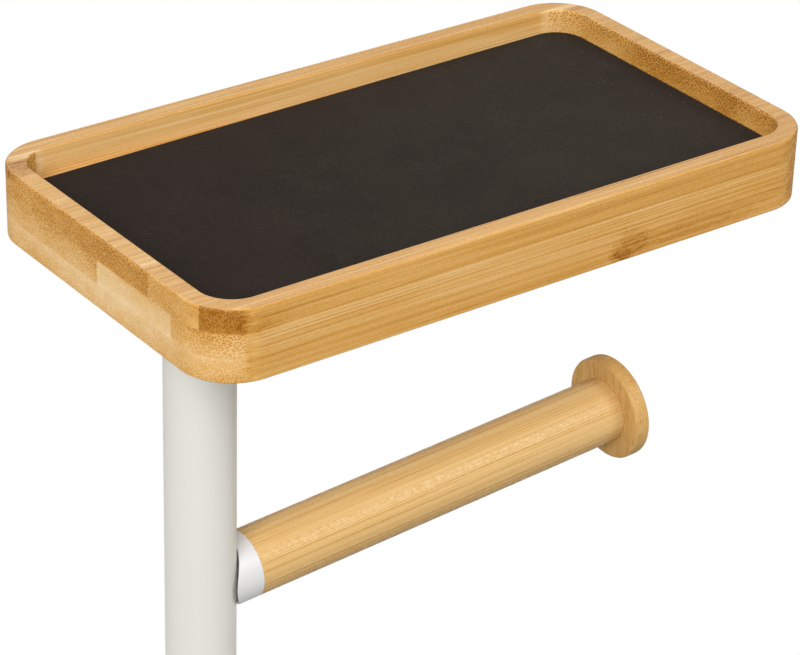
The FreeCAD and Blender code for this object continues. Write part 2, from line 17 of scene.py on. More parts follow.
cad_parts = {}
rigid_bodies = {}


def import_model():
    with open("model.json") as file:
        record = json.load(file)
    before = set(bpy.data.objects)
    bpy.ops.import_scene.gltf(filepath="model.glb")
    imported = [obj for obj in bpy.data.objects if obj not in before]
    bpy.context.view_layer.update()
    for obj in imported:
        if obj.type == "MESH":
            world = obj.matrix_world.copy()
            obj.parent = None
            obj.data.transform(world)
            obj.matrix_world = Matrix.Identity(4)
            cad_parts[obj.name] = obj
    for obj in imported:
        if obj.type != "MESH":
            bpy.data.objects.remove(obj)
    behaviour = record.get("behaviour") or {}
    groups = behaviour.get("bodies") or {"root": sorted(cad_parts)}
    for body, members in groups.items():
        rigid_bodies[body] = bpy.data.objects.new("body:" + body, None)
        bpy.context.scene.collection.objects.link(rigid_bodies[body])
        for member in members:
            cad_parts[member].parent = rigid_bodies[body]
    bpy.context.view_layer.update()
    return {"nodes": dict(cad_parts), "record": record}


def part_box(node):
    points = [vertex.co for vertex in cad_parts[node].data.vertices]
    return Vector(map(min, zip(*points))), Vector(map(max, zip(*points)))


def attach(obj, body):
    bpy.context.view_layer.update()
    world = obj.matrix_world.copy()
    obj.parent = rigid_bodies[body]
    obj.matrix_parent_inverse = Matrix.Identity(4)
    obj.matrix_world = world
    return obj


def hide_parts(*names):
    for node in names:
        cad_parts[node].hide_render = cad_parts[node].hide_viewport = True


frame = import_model()
MM = 0.001

# %% [markdown]
# ## Camera
# The photograph is taken from the front left and from above, close to the tray, with a long lens. The
# camera is written as a place, a heading, a dip and a small roll, as they are set on a tripod.

# %% Place the camera
CAMERA_PLACE = Vector((-480.7, -637.4, 1032.3)) * MM
CAMERA_HEADING = math.radians(53.0427)
CAMERA_DIP = math.radians(28.8718)
CAMERA_ROLL = math.radians(1.709)
CAMERA_LENS = 146.533
SENSOR_WIDTH = 36.0

level = Vector((math.cos(CAMERA_HEADING), math.sin(CAMERA_HEADING), 0))
ahead = level * math.cos(CAMERA_DIP) - Vector((0, 0, math.sin(CAMERA_DIP)))
level_right = Vector((level.y, -level.x, 0))
level_up = level_right.cross(ahead)
camera_right = level_right * math.cos(CAMERA_ROLL) + level_up * math.sin(CAMERA_ROLL)
camera_up = level_up * math.cos(CAMERA_ROLL) - level_right * math.sin(CAMERA_ROLL)

bpy.ops.object.camera_add(location=CAMERA_PLACE)
camera = bpy.context.object
camera.rotation_euler = Matrix((camera_right, camera_up, -ahead)).transposed().to_euler()
camera.data.sensor_fit = "HORIZONTAL"
camera.data.sensor_width = SENSOR_WIDTH
camera.data.lens = CAMERA_LENS
bpy.context.scene.camera = camera
bpy.context.scene.view_settings.view_transform = "Standard"
print("camera at", [round(value, 3) for value in camera.location])

# %% [markdown]
# ## Recipes for nodes
# Every finish below is a tree of nodes. A small bench adds a node, sets its options and wires its inputs in
# one line. A shared effect becomes a node group with named inputs and outputs, and every finish is kept
# under the name of its material slot.

# %% A bench for wiring nodes


class Bench:
    """Adds nodes to one tree and wires them, so that a finish reads as a recipe."""

    def __init__(self, tree):
        self.tree = tree

    def feed(self, sockets, feeds):
        for name, source in feeds.items():
            if isinstance(source, bpy.types.NodeSocket):
                self.tree.links.new(source, sockets[name])
            else:
                sockets[name].default_value = source

    def add(self, kind, feeds=None, **options):
        node = self.tree.nodes.new("ShaderNode" + kind)
        for option, value in options.items():
            setattr(node, option, value)
        self.feed(node.inputs, feeds or {})
        return node

    def math(self, operation, *values):
        return self.add("Math", dict(enumerate(values)), operation=operation).outputs[0]

    def vector(self, operation, *values):
        node = self.add("VectorMath", dict(enumerate(values)), operation=operation)
        return node.outputs["Value" if operation in ("LENGTH", "DOT_PRODUCT") else "Vector"]

    def ramp_value(self, value, low, high, to_low=0.0, to_high=1.0, kind="SMOOTHSTEP"):
        feeds = {"Value": value, "From Min": low, "From Max": high, "To Min": to_low, "To Max": to_high}
        return self.add("MapRange", feeds, interpolation_type=kind).outputs["Result"]

    def shift_by(self, value, change, amount):
        """Adds a pattern that lies around one half to a value, so many times."""
        return self.math("MULTIPLY_ADD", self.math("SUBTRACT", change, 0.5), amount, value)

    def blend(self, share, first, second):
        """Goes from one value to another."""
        return self.math("MULTIPLY_ADD", self.math("SUBTRACT", second, first), share, first)

    def noise(self, point, waves, detail=2.0, roughness=0.5):
        """Noise with so many waves per unit, one number for every axis or one for each."""
        stretch = waves if isinstance(waves, tuple) else (waves, waves, waves)
        stretched = self.vector("MULTIPLY", point, stretch)
        feeds = {"Vector": stretched, "Scale": 1.0, "Detail": detail, "Roughness": roughness}
        return self.add("TexNoise", feeds).outputs["Fac"]

    def mix(self, factor, first, second):
        return self.add("Mix", {0: factor, 6: first, 7: second}, data_type="RGBA").outputs[2]

    def colour_ramp(self, value, stops, interpolation="LINEAR"):
        node = self.add("ValToRGB", {"Fac": value})
        ramp = node.color_ramp
        ramp.interpolation = interpolation
        while len(ramp.elements) < len(stops):
            ramp.elements.new(1.0)
        for element, (place, colour) in zip(ramp.elements, stops):
            element.position = place
            element.color = colour
        return node.outputs["Color"]

    def bump(self, height, strength, distance):
        feeds = {"Height": height, "Strength": strength, "Distance": distance}
        return self.add("Bump", feeds).outputs["Normal"]

    def group(self, tree, feeds):
        return self.add("Group", feeds, node_tree=tree).outputs


def new_group(name, inputs, outputs):
    """A node group that takes a point and named numbers, and a bench to fill it."""
    tree = bpy.data.node_groups.new(name, "ShaderNodeTree")
    tree.interface.new_socket("Point", in_out="INPUT", socket_type="NodeSocketVector")
    for sockets, way in ((inputs, "INPUT"), (outputs, "OUTPUT")):
        for socket in sockets:
            tree.interface.new_socket(socket, in_out=way, socket_type="NodeSocketFloat")
    inlet = tree.nodes.new("NodeGroupInput").outputs
    outlet = tree.nodes.new("NodeGroupOutput").inputs
    return tree, Bench(tree), inlet, outlet


FINISHES = {}


def new_material(name):
    """A bench to fill a new material, and its Principled shader."""
    material = bpy.data.materials.new(name)
    material.use_nodes = True
    FINISHES[name] = material
    return Bench(material.node_tree), material.node_tree.nodes["Principled BSDF"]


def paint(red, green, blue):
    """A colour as it is read off a screen, 0 to 255, in the linear values that shaders use."""
    def linear(value):
        share = value / 255
        return share / 12.92 if share <= 0.04045 else ((share + 0.055) / 1.055) ** 2.4
    return (linear(red), linear(green), linear(blue), 1.0)


def grey(value):
    return (value, value, value, 1.0)


# %% [markdown]
# ## Floor and background
# A studio would stand the piece on a pale sweep. The floor is a wide plane that takes the shadow near the
# foot and fades to plain white further out, and the world is white where it is seen, so that no horizon
# shows from any side. The floor throws back less light than it shows, as a studio's floor further down
# would. Seen from underneath it lets the view through.

# %% Floor and world
FLOOR_SIZE = 24.0
FLOOR_DROP = 0.0002
FLOOR_TONES = (grey(0.66), grey(0.70))
FLOOR_BOUNCE = grey(0.22)
FLOOR_MOTTLE = 9.0
FLOOR_ROUGHNESS = 0.8
SHADOW_REACH = 0.28
WHITE_FROM = 0.66
NEAR_WHITE = 0.45
AMBIENT = 0.26
WHITE = grey(1.0)


def seen_directly(bench):
    """1 for what the camera sees, straight on, in a gloss or through glass."""
    path = bench.add("LightPath").outputs
    glossy = bench.math("MAXIMUM", path["Is Glossy Ray"], path["Is Transmission Ray"])
    return bench.math("MAXIMUM", path["Is Camera Ray"], glossy)


def make_floor():
    bpy.ops.mesh.primitive_plane_add(size=FLOOR_SIZE, location=(0, 0, -FLOOR_DROP))
    floor = bpy.context.object
    floor.name = "floor"
    bench, shader = new_material("pale_floor")
    place = bench.add("TexCoord").outputs["Object"]
    mottle = bench.noise(place, FLOOR_MOTTLE, detail=4.0)
    seen = seen_directly(bench)
    shown = bench.mix(mottle, *FLOOR_TONES)
    colour = bench.mix(seen, FLOOR_BOUNCE, shown)
    bench.feed(shader.inputs, {"Base Color": colour, "Roughness": FLOOR_ROUGHNESS})
    far = bench.ramp_value(bench.vector("LENGTH", place), SHADOW_REACH, WHITE_FROM, NEAR_WHITE, 1.0)
    share = bench.math("MULTIPLY", far, seen)
    glow = bench.add("Emission", {"Color": WHITE, "Strength": 1.0}).outputs[0]
    lit = bench.add("MixShader", {0: share, 1: shader.outputs[0], 2: glow}).outputs[0]
    under = bench.add("NewGeometry").outputs["Backfacing"]
    clear = bench.add("BsdfTransparent").outputs[0]
    sided = bench.add("MixShader", {0: under, 1: lit, 2: clear}).outputs[0]
    bench.feed(bench.tree.nodes["Material Output"].inputs, {"Surface": sided})
    floor.data.materials.append(FINISHES["pale_floor"])


def make_world():
    world = bpy.data.worlds.new("studio")
    world.use_nodes = True
    bpy.context.scene.world = world
    world.node_tree.nodes.clear()
    bench = Bench(world.node_tree)
    ambient = bench.add("Background", {"Color": WHITE, "Strength": AMBIENT}).outputs[0]
    white = bench.add("Background", {"Color": WHITE, "Strength": 1.0}).outputs[0]
    both = bench.add("MixShader", {0: seen_directly(bench), 1: ambient, 2: white}).outputs[0]
    bench.add("OutputWorld", {"Surface": both})


make_floor()
make_world()
print("floor and world made")

# %% [markdown]
# ## Lamps
# The photograph is lit by one large soft panel beside the camera, a little to its left. A weaker panel
# fills in from the front, one lights the pole from the left, and one above and behind lifts what lies flat.
# A wide low panel on the right is what the lacquer on the rod mirrors as a bright streak.

# %% Soft lamps
LIT_POINT = Vector((0.0, 0.0, 0.58))
LAMP_DISTANCE = 2.2


def soft_lamp(name, towards, width, height, watts):
    """A panel that faces the tray and the arm."""
    place = LIT_POINT + Vector(towards).normalized() * LAMP_DISTANCE
    bpy.ops.object.light_add(type="AREA", location=place)
    lamp = bpy.context.object
    lamp.name = name
    lamp.rotation_euler = (LIT_POINT - place).to_track_quat("-Z", "Y").to_euler()
    lamp.data.shape = "RECTANGLE"
    lamp.data.size = width
    lamp.data.size_y = height
    lamp.data.energy = watts


soft_lamp("main_panel", (-0.66, -0.56, 0.52), 1.1, 0.9, 34.9)
soft_lamp("front_panel", (0.40, -0.80, 0.50), 1.4, 0.8, 12.0)
soft_lamp("right_panel", (0.526, -0.541, 0.655), 1.0, 0.4, 8.0)
soft_lamp("left_panel", (-0.95, 0.15, 0.30), 1.0, 1.0, 8.3)
soft_lamp("back_panel", (-0.20, 0.42, 0.95), 1.4, 1.0, 7.5)
print("five soft lamps")

# %% [markdown]
# ## Bamboo
# A bamboo board is glued up from split strips. Cut across, each strip shows its fibre bundles as brown
# dots, crowded near the skin of the cane and sparse inside; along the strip the same bundles run as
# streaks. Painting dots on the ends and streaks on the sides by hand would never meet at the corners, so
# the fibres are worked out once as a solid: a pattern across the grain that hardly changes along it. Any
# cut through that solid, flat or round, then shows what a saw would show.

# %% The fibre group
STRIP_SOCKETS = ("End tone", "Long tone", "Dots", "Coarse", "Cane", "Skin", "Turn")
PIECE_SOCKETS = ("End grain", "Mark", "Lines", "Sway", "Flat", "Bands", "Lacquer")
FIBRE_OUTPUTS = ("Tone", "Roughness", "Coat", "Height")
FINE_DOTS_PER_MM = 1.6
COARSE_DOTS_PER_MM = 0.9
DOT_EDGE = (0.18, 0.44)
LINES_PER_MM = 2.6
LINE_EDGE = (0.08, 0.46)
DROP_EDGE = (0.45, 0.60)
DROP_COAT = (0.15, 2.6)
# Waves in a millimetre, along the grain and then across it.
WANDER_WAVES = (0.012, 0.04, 0.04)
BAND_WAVES = (0.006, 0.5, 0.45)
STREAK_WAVES = (0.010, 1.6, 1.6)
HAIR_WAVES = (0.04, 4.5, 4.5)
DRIFT_WAVES = (0.010, 0.2, 0.12)
FLECK_WAVES = (1.6, 4.0, 4.0)
BURR_WAVES = (0.16, 1.3, 1.3)
DROP_WAVES = 1.3
# How much each pattern changes the tone.
SKIN_TINT = 0.22
DOT_TINT = 0.24
SKIN_DOT_TINT = 0.36
BAND_TINT = 0.26
STREAK_TINT = 0.25
MORE_STREAK_TINT = 0.30
HAIR_TINT = 0.30
FLECK_TINT = 0.22
DRIFT_TINT = 0.24
SCAR_TINT = 0.75
# Where a slanting cut starts to show dots, and where it shows nothing else.
END_GRAIN = (0.28, 0.42)


def make_fibres():
    """Point is in millimetres with X along the grain. End tone and Long tone are how brown the strip is
    across and along the grain. Dots is how much its bundles stand out, below zero where they are paler
    than the ground, Coarse is how far apart they lie, and Cane shifts them so that no two strips are
    alike. Skin runs across the strip's thickness, and Turn is how far the dots move along a rounded corner.
    Mark is where a joint of the cane crosses the strip. Lines is how much single bundles show along the
    grain, Sway is how far they wander, and Flat is below one where they are pressed wide. Bands is how much
    the tint drifts from one side to the other, and Lacquer is how much of the surface is closed."""
    tree, bench, given, result = new_group("bamboo_fibres", STRIP_SOCKETS + PIECE_SOCKETS, FIBRE_OUTPUTS)
    stretched = bench.vector("MULTIPLY", given["Point"], WANDER_WAVES)
    wander = bench.add("TexNoise", {"Vector": stretched, "Scale": 1.0, "Detail": 1.0})
    bend = bench.vector("SUBTRACT", wander.outputs["Color"], (0.5, 0.5, 0.5))
    bend = bench.vector("MULTIPLY", bench.vector("MULTIPLY", bend, (0.0, 1.0, 1.0)), given["Sway"])
    bent = bench.vector("ADD", given["Point"], bend)
    parts = bench.add("SeparateXYZ", {0: bent}).outputs
    side = bench.math("ADD", parts["Y"], given["Cane"])
    sheer = bench.add("CombineXYZ", {0: side, 1: parts["Z"]}).outputs[0]
    pressed = bench.math("MULTIPLY", side, given["Flat"])
    along = bench.add("CombineXYZ", {0: parts["X"], 1: pressed, 2: parts["Z"]}).outputs[0]
    across = bench.vector("ADD", sheer, bench.add("CombineXYZ", {0: given["Turn"]}).outputs[0])

    spread = bench.ramp_value(given["Coarse"], 0.0, 1.0, FINE_DOTS_PER_MM, COARSE_DOTS_PER_MM)
    feeds = {"Vector": across, "Scale": spread, "Randomness": 0.8}
    cells = bench.add("TexVoronoi", feeds, voronoi_dimensions="2D").outputs
    bundle = bench.ramp_value(cells["Distance"], *DOT_EDGE, 1.0, 0.0)
    section = bench.add("CombineXYZ", {0: pressed, 1: parts["Z"]}).outputs[0]
    feeds = {"Vector": section, "Scale": LINES_PER_MM}
    runs = bench.add("TexVoronoi", feeds, voronoi_dimensions="2D").outputs
    dark_chance, pale_chance, _ = bench.add("SeparateColor", {0: runs["Color"]}).outputs
    core = bench.ramp_value(runs["Distance"], *LINE_EDGE, 1.0, 0.0)
    dark = bench.ramp_value(dark_chance, 0.1, 0.8)
    pale = bench.ramp_value(pale_chance, 0.6, 1.0)
    line = bench.math("MULTIPLY", core, bench.math("SUBTRACT", dark, pale))
    band = bench.noise(along, BAND_WAVES)
    streak = bench.noise(along, STREAK_WAVES, detail=4.0, roughness=0.65)
    line = bench.math("MULTIPLY", line, bench.ramp_value(streak, 0.35, 0.6, 0.6, 1.2))
    hair = bench.noise(along, HAIR_WAVES)
    drift = bench.noise(along, DRIFT_WAVES)
    fleck = bench.noise(along, FLECK_WAVES)
    burr = bench.noise(along, BURR_WAVES, detail=3.0, roughness=0.7)

    cut = bench.ramp_value(given["End grain"], *END_GRAIN)
    whole = bench.math("SUBTRACT", 1.0, cut)
    end_tone = bench.shift_by(given["End tone"], given["Skin"], SKIN_TINT)
    crowd = bench.math("MULTIPLY_ADD", given["Skin"], SKIN_DOT_TINT, DOT_TINT)
    end_tone = bench.shift_by(end_tone, bundle, bench.math("MULTIPLY", given["Dots"], crowd))
    long_tone = bench.math("MULTIPLY_ADD", line, given["Lines"], given["Long tone"])
    tone = bench.blend(cut, long_tone, end_tone)
    tone = bench.shift_by(tone, band, bench.math("MULTIPLY", given["Bands"], BAND_TINT))
    tone = bench.shift_by(tone, streak, bench.math("MULTIPLY_ADD", whole, MORE_STREAK_TINT, STREAK_TINT))
    tone = bench.shift_by(tone, hair, HAIR_TINT)
    tone = bench.shift_by(tone, fleck, FLECK_TINT)
    tone = bench.shift_by(tone, drift, bench.math("MULTIPLY", given["Bands"], DRIFT_TINT))
    scar = bench.math("MULTIPLY", given["Mark"], bench.ramp_value(burr, 0.25, 0.7, 0.35, 1.0))
    tone = bench.math("MULTIPLY_ADD", scar, SCAR_TINT, tone)

    relief = bench.math("MULTIPLY_ADD", fleck, 0.6, bench.math("MULTIPLY", hair, 0.4))
    drops = bench.noise(given["Point"], DROP_WAVES, detail=1.0)
    closed = bench.ramp_value(drops, *DROP_EDGE, *DROP_COAT)
    bench.feed(result, {
        "Tone": tone,
        "Roughness": bench.math("MULTIPLY_ADD", hair, 0.3, 0.4),
        "Coat": bench.math("MULTIPLY", given["Lacquer"], closed),
        "Height": bench.math("MULTIPLY_ADD", bundle, 0.3, relief),
    })
    return tree


FIBRES = make_fibres()
print("fibre group with", len(FIBRES.nodes), "nodes")

# %% [markdown]
# ## How the boards are glued up
# A board is three plies thick, and each ply is a row of strips side by side. Every strip comes from a
# different cane, so each has its own tints. The strips are listed from the front edge to the back, ply by
# ply from the bottom, and become colour ramps across the board: one runs from a strip's front tints to its
# back ones, and one holds what is the same all over a strip. A ply may lie with its skin side up or down,
# which turns the fade from dark to pale over. Round a corner the saw meets the fibres at a slant, but the
# dots on such a board stay round, so the pattern is stretched there along the outline.

# %% A group for a board's strips
PLIES = 3
CANE_SHIFT = 900.0
SEAM = 0.0005
SOFT_SEAM = 0.05
BACK_EDGE = (0.85, 0.95)
Strip = namedtuple("Strip", "start end_tones long_tone dots coarse", defaults=(0.0,))
FarEnd = namedtuple("FarEnd", "start stop deeper tints")


def make_lay_up(name, low, high, corner, plies, skin_ways, far_end=None):
    """Sizes are in millimetres. skin_ways says for each ply which way its skin side faces, from down at
    minus one to up at one. far_end is where along the board the tints start and stop to change, how much
    deeper the long grain gets short of the back edge, and what the end grain reaches: rows of a place
    across the board, a tint and its dots. There the skin side faces up."""
    tree, bench, given, result = new_group(name, (), STRIP_SOCKETS)
    parts = bench.add("SeparateXYZ", {0: given["Point"]}).outputs
    width = high.y - low.y
    share = bench.math("DIVIDE", bench.math("SUBTRACT", parts["Y"], low.y), width)
    height = bench.math("DIVIDE", bench.math("SUBTRACT", parts["Z"], low.z), (high.z - low.z) / PLIES)
    changing = even = grey(0.0)
    for number, (ply, way) in enumerate(zip(plies, skin_ways)):
        starts = [(strip.start - low.y) / width for strip in ply]
        tints = []
        fixed = []
        for strip, begin, end in zip(ply, starts, starts[1:] + [1.0 + SEAM]):
            for place, side in ((begin, 0), (end - SEAM, 1)):
                dots = (strip.dots[side] + 1.0) / 2
                tints.append((place, (strip.end_tones[side], strip.long_tone, dots, 1.0)))
            shift = (strip.long_tone + strip.end_tones[0]) % 1.0
            fixed.append((begin, (strip.coarse, shift, (way + 1.0) / 2, 1.0)))
        above = bench.ramp_value(height, number - SOFT_SEAM, number + SOFT_SEAM) if number else 1.0
        sharply = bench.math("GREATER_THAN", height, float(number)) if number else 1.0
        changing = bench.mix(above, changing, bench.colour_ramp(share, tints))
        even = bench.mix(sharply, even, bench.colour_ramp(share, fixed, "CONSTANT"))
    end_tone, long_tone, dots = bench.add("SeparateColor", {0: changing}).outputs
    dots = bench.math("MULTIPLY_ADD", dots, 2.0, -1.0)
    coarse, cane, way = bench.add("SeparateColor", {0: even}).outputs
    way = bench.math("MULTIPLY_ADD", way, 2.0, -1.0)
    rise = bench.math("FRACT", height)
    skin = bench.shift_by(0.5, rise, way)
    if far_end:
        fade = bench.ramp_value(parts["X"], far_end.start, far_end.stop)
        deeper = bench.ramp_value(share, *BACK_EDGE, far_end.deeper, 0.0)
        long_tone = bench.math("MULTIPLY_ADD", fade, deeper, long_tone)
        reached = [((place - low.y) / width, (tone, dot, 0.0, 1.0)) for place, tone, dot in far_end.tints]
        far_tone, far_dots, _ = bench.add("SeparateColor", {0: bench.colour_ramp(share, reached)}).outputs
        end_tone = bench.blend(fade, end_tone, far_tone)
        dots = bench.blend(fade, dots, far_dots)
        skin = bench.blend(fade, skin, rise)
    past = bench.math("SUBTRACT", bench.math("ABSOLUTE", parts["Y"]), high.y - corner)
    turn = bench.ramp_value(past, 0.0, corner, kind="LINEAR")
    stretch = bench.math("MULTIPLY", bench.math("SUBTRACT", bench.math("ARCSINE", turn), turn), corner)
    turned = bench.math("MULTIPLY", bench.math("SIGN", parts["Y"]), stretch)
    found = (end_tone, long_tone, dots, coarse, bench.math("MULTIPLY", cane, CANE_SHIFT), skin, turned)
    bench.feed(result, dict(zip(STRIP_SOCKETS, found)))
    return tree


def drawn_plies(seed, front, back, width):
    """Strips of about one width with tints drawn by lot, the same at every run."""
    lot = random.Random(seed)
    plies = []
    for _ in range(PLIES):
        start = front - lot.uniform(0.0, 0.8) * width
        ply = []
        while start < back:
            tone = lot.uniform(0.25, 0.65)
            end_tones = (tone, tone + lot.uniform(-0.08, 0.08))
            dots = (lot.uniform(0.05, 0.4), lot.uniform(0.05, 0.4))
            long_tone = lot.uniform(0.40, 0.52)
            ply.append(Strip(max(start, front), end_tones, long_tone, dots, lot.uniform(0.0, 0.5)))
            start += width
        plies.append(ply)
    return plies


TRAY_LOW, TRAY_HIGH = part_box("tray")
TRAY_CORNER = 15.6 * MM
BASE_LOW, BASE_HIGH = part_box("base_board")
BASE_CORNER = 20.0 * MM
BASE_STRIP = 26.0
TRAY_PLIES = (
    (
        Strip(-56.0, (0.43, 0.36), 0.46, (0.45, 0.35), 0.10),
        Strip(-30.0, (0.32, 0.25), 0.46, (0.40, 0.40)),
        Strip(4.0, (0.26, 0.38), 0.44, (0.40, 0.40)),
        Strip(34.0, (0.38, 0.38), 0.44, (0.50, 0.60)),
    ),
    (
        Strip(-56.0, (0.48, 0.46), 0.40, (0.80, 0.20), 0.45),
        Strip(-36.7, (0.27, 0.20), 0.39, (0.25, 0.25), 0.10),
        Strip(-1.5, (0.49, 0.51), 0.44, (0.70, 0.70), 0.05),
        # This strip's long grain is painted paler: painted light on the bare wedge of pocket floor behind
        # the mat, which the wall shades.
        Strip(30.0, (0.48, 0.48), 0.35, (0.70, 0.70)),
    ),
    (
        Strip(-56.0, (0.74, 0.78), 0.50, (-0.35, -0.45), 0.20),
        Strip(-47.0, (0.51, 0.55), 0.46, (0.30, 0.70)),
        Strip(-26.0, (0.75, 0.64), 0.44, (0.70, 0.75), 0.05),
        Strip(31.0, (0.62, 0.64), 0.44, (0.70, 0.70)),
        # The next two strips lie under the back wall of the pocket and the rim's inner edge. The wall strip
        # is painted paler, painted light, and the thin strip on the inner edge is darker, a painted shade
        # line.
        Strip(47.5, (0.63, 0.66), 0.24, (0.70, 0.70)),
        Strip(50.15, (0.66, 0.66), 0.58, (0.70, 0.70)),
        Strip(50.7, (0.63, 0.66), 0.48, (0.70, 0.70)),
    ),
)
TRAY_SKIN_WAYS = (-1.0, 1.0, 0.2)
BASE_SKIN_WAYS = (-1.0, -1.0, -1.0)
TRAY_FAR_END = FarEnd(30.0, 88.0, 0.06, (
    (-56.0, 0.71, 0.9),
    (-28.5, 0.71, 0.9),
    (-27.5, 0.81, 0.9),
    (17.5, 0.77, 0.9),
    (18.5, 0.69, 0.9),
    (40.0, 0.64, 0.9),
    (50.0, 0.42, 0.7),
))
TRAY_LAY_UP = make_lay_up(
    "tray_lay_up", TRAY_LOW / MM, TRAY_HIGH / MM, TRAY_CORNER / MM, TRAY_PLIES, TRAY_SKIN_WAYS,
    TRAY_FAR_END,
)
BASE_PLIES = drawn_plies(4, BASE_LOW.y / MM, BASE_HIGH.y / MM, BASE_STRIP)
BASE_LAY_UP = make_lay_up(
    "base_lay_up", BASE_LOW / MM, BASE_HIGH / MM, BASE_CORNER / MM, BASE_PLIES, BASE_SKIN_WAYS
)
print("strips in the tray and the base:", sum(map(len, TRAY_PLIES)), sum(map(len, BASE_PLIES)))

# %% [markdown]
# ## Bamboo finishes
# Every bamboo piece takes the fibre group. What differs is the way the grain runs, whether the piece is
# glued up, and where a joint of the cane left a scar. On the tray, faces that look up are painted paler
# towards a pale tint, a painted sheen.

# %% Bamboo materials
# The tint that faces looking up are painted towards: a painted sheen on the tray's tops.
PAINTED_SHEEN_TINT = paint(255, 247, 236)
BAMBOO_BUMP = 0.12
BAMBOO_RELIEF = 0.00025
BOARD_FLAT = 0.38
RING_WAVES = 20.0
RING_DEPTH = 0.2
MARK_RAGGED = 0.7
MARK_WAVES = (0.3, 0.6, 0.9)
CANE_WAVES = (0.01, 0.09, 0.09)
UP_FROM = (0.6, 0.98)
Cane = namedtuple("Cane", "end_tone long_tone dots coarse shift")
BOARD_TONES = (
    (0.00, paint(246, 217, 170)),
    (0.25, paint(232, 191, 132)),
    (0.45, paint(217, 165, 89)),
    (0.65, paint(197, 140, 63)),
    (0.85, paint(168, 109, 36)),
    (1.00, paint(132, 81, 24)),
)
TURNED_TONES = (
    (0.00, paint(234, 197, 136)),
    (0.25, paint(223, 181, 117)),
    (0.45, paint(208, 161, 93)),
    (0.65, paint(186, 139, 69)),
    (1.00, paint(120, 80, 34)),
)


def make_bamboo(
    name, tones, turn=(0.0, 0.0, 0.0), grain=(1.0, 0.0, 0.0), lay_up=None, cane=None, marks=(), painted_top_sheen=0.0,
    lines=0.22, sway=1.2, flat=1.0, bands=1.0, lacquer=0.25, lacquer_roughness=0.4,
):
    """turn brings the grain onto X, grain is its direction on the piece, and each mark is the middle, the
    size and the strength of a cane joint, in millimetres. The argument after marks is how much paler faces
    that look up are painted: a painted sheen."""
    bench, shader = new_material(name)
    coordinates = bench.add("TexCoord").outputs
    feeds = {"Vector": coordinates["Object"], "Rotation": turn, "Scale": (1 / MM, 1 / MM, 1 / MM)}
    point = bench.add("Mapping", feeds).outputs["Vector"]
    facing = bench.math("ABSOLUTE", bench.vector("DOT_PRODUCT", coordinates["Normal"], grain))
    mark = 0.0
    ragged = bench.noise(point, MARK_WAVES, detail=3.0) if marks else 0.0
    for middle, size, strength in marks:
        offset = bench.vector("DIVIDE", bench.vector("SUBTRACT", point, middle), size)
        reach = bench.shift_by(bench.vector("LENGTH", offset), ragged, MARK_RAGGED)
        wave = bench.math("SINE", bench.math("MULTIPLY", reach, RING_WAVES))
        rings = bench.math("MULTIPLY_ADD", wave, RING_DEPTH, 1.0 - RING_DEPTH)
        spot = bench.math("MULTIPLY", rings, bench.ramp_value(reach, 0.25, 1.0, strength, 0.0))
        mark = bench.math("MAXIMUM", mark, spot)
    if lay_up:
        feeds = dict(bench.group(lay_up, {"Point": point}).items())
    else:
        feeds = dict(zip(STRIP_SOCKETS, cane))
        feeds["Skin"] = bench.noise(point, CANE_WAVES)
    feeds.update({
        "Point": point, "End grain": facing, "Mark": mark, "Lines": lines, "Sway": sway, "Flat": flat,
        "Bands": bands, "Lacquer": lacquer,
    })
    fibres = bench.group(FIBRES, feeds)
    colour = bench.colour_ramp(fibres["Tone"], tones)
    # Faces that look up are painted paler here: a painted sheen.
    if painted_top_sheen:
        upward = bench.add("SeparateXYZ", {0: coordinates["Normal"]}).outputs["Z"]
        colour = bench.mix(bench.ramp_value(upward, *UP_FROM, 0.0, painted_top_sheen), colour, PAINTED_SHEEN_TINT)
    bench.feed(shader.inputs, {
        "Base Color": colour,
        "Roughness": fibres["Roughness"],
        "Coat Weight": fibres["Coat"],
        "Coat Roughness": lacquer_roughness,
        "Normal": bench.bump(fibres["Height"], BAMBOO_BUMP, BAMBOO_RELIEF),
        "Specular IOR Level": 0.0,
    })


ARM_TILT = math.radians(3.7)
ARM_GRAIN = (math.cos(ARM_TILT), 0.0, math.sin(ARM_TILT))
ARM_TURN = (0.0, ARM_TILT, 0.0)
UPRIGHT = (0.0, 0.0, 1.0)
UPRIGHT_TURN = (0.0, math.radians(90.0), 0.0)
TRAY_MARKS = (
    ((30.5, -57.0, 631.0), (6.5, 12.0, 3.8), 0.72),
    ((34.0, -57.0, 633.0), (10.0, 12.0, 6.0), 0.54),
    ((54.0, -57.0, 632.5), (34.0, 12.0, 4.5), 0.28),
    ((-89.5, -56.0, 644.8), (16.0, 5.0, 4.5), 0.3),
    ((-97.0, 44.0, 650.0), (8.0, 8.0, 4.0), 0.6),
)
ROD_CANE = Cane(0.40, 0.20, 0.3, 0.5, 60.0)
DISC_CANE = Cane(0.45, 0.38, 0.3, 0.4, 0.0)
DOWEL_CANE = Cane(0.30, 0.25, 0.1, 0.0, 0.0)

# The tray's tops carry a painted sheen.
make_bamboo("tray_bamboo", BOARD_TONES, lay_up=TRAY_LAY_UP, marks=TRAY_MARKS, flat=BOARD_FLAT, painted_top_sheen=0.10)
make_bamboo("base_bamboo", BOARD_TONES, lay_up=BASE_LAY_UP, flat=BOARD_FLAT)
make_bamboo(
    "rod_bamboo", TURNED_TONES, turn=ARM_TURN, grain=ARM_GRAIN, cane=ROD_CANE, lines=0.44, sway=0.4,
    bands=0.4, lacquer=0.26, lacquer_roughness=0.28,
)
make_bamboo("disc_bamboo", TURNED_TONES, turn=UPRIGHT_TURN, grain=UPRIGHT, cane=DISC_CANE)
make_bamboo("dowel_wood", TURNED_TONES, turn=ARM_TURN, grain=ARM_GRAIN, cane=DOWEL_CANE)
print("finishes so far:", sorted(FINISHES))

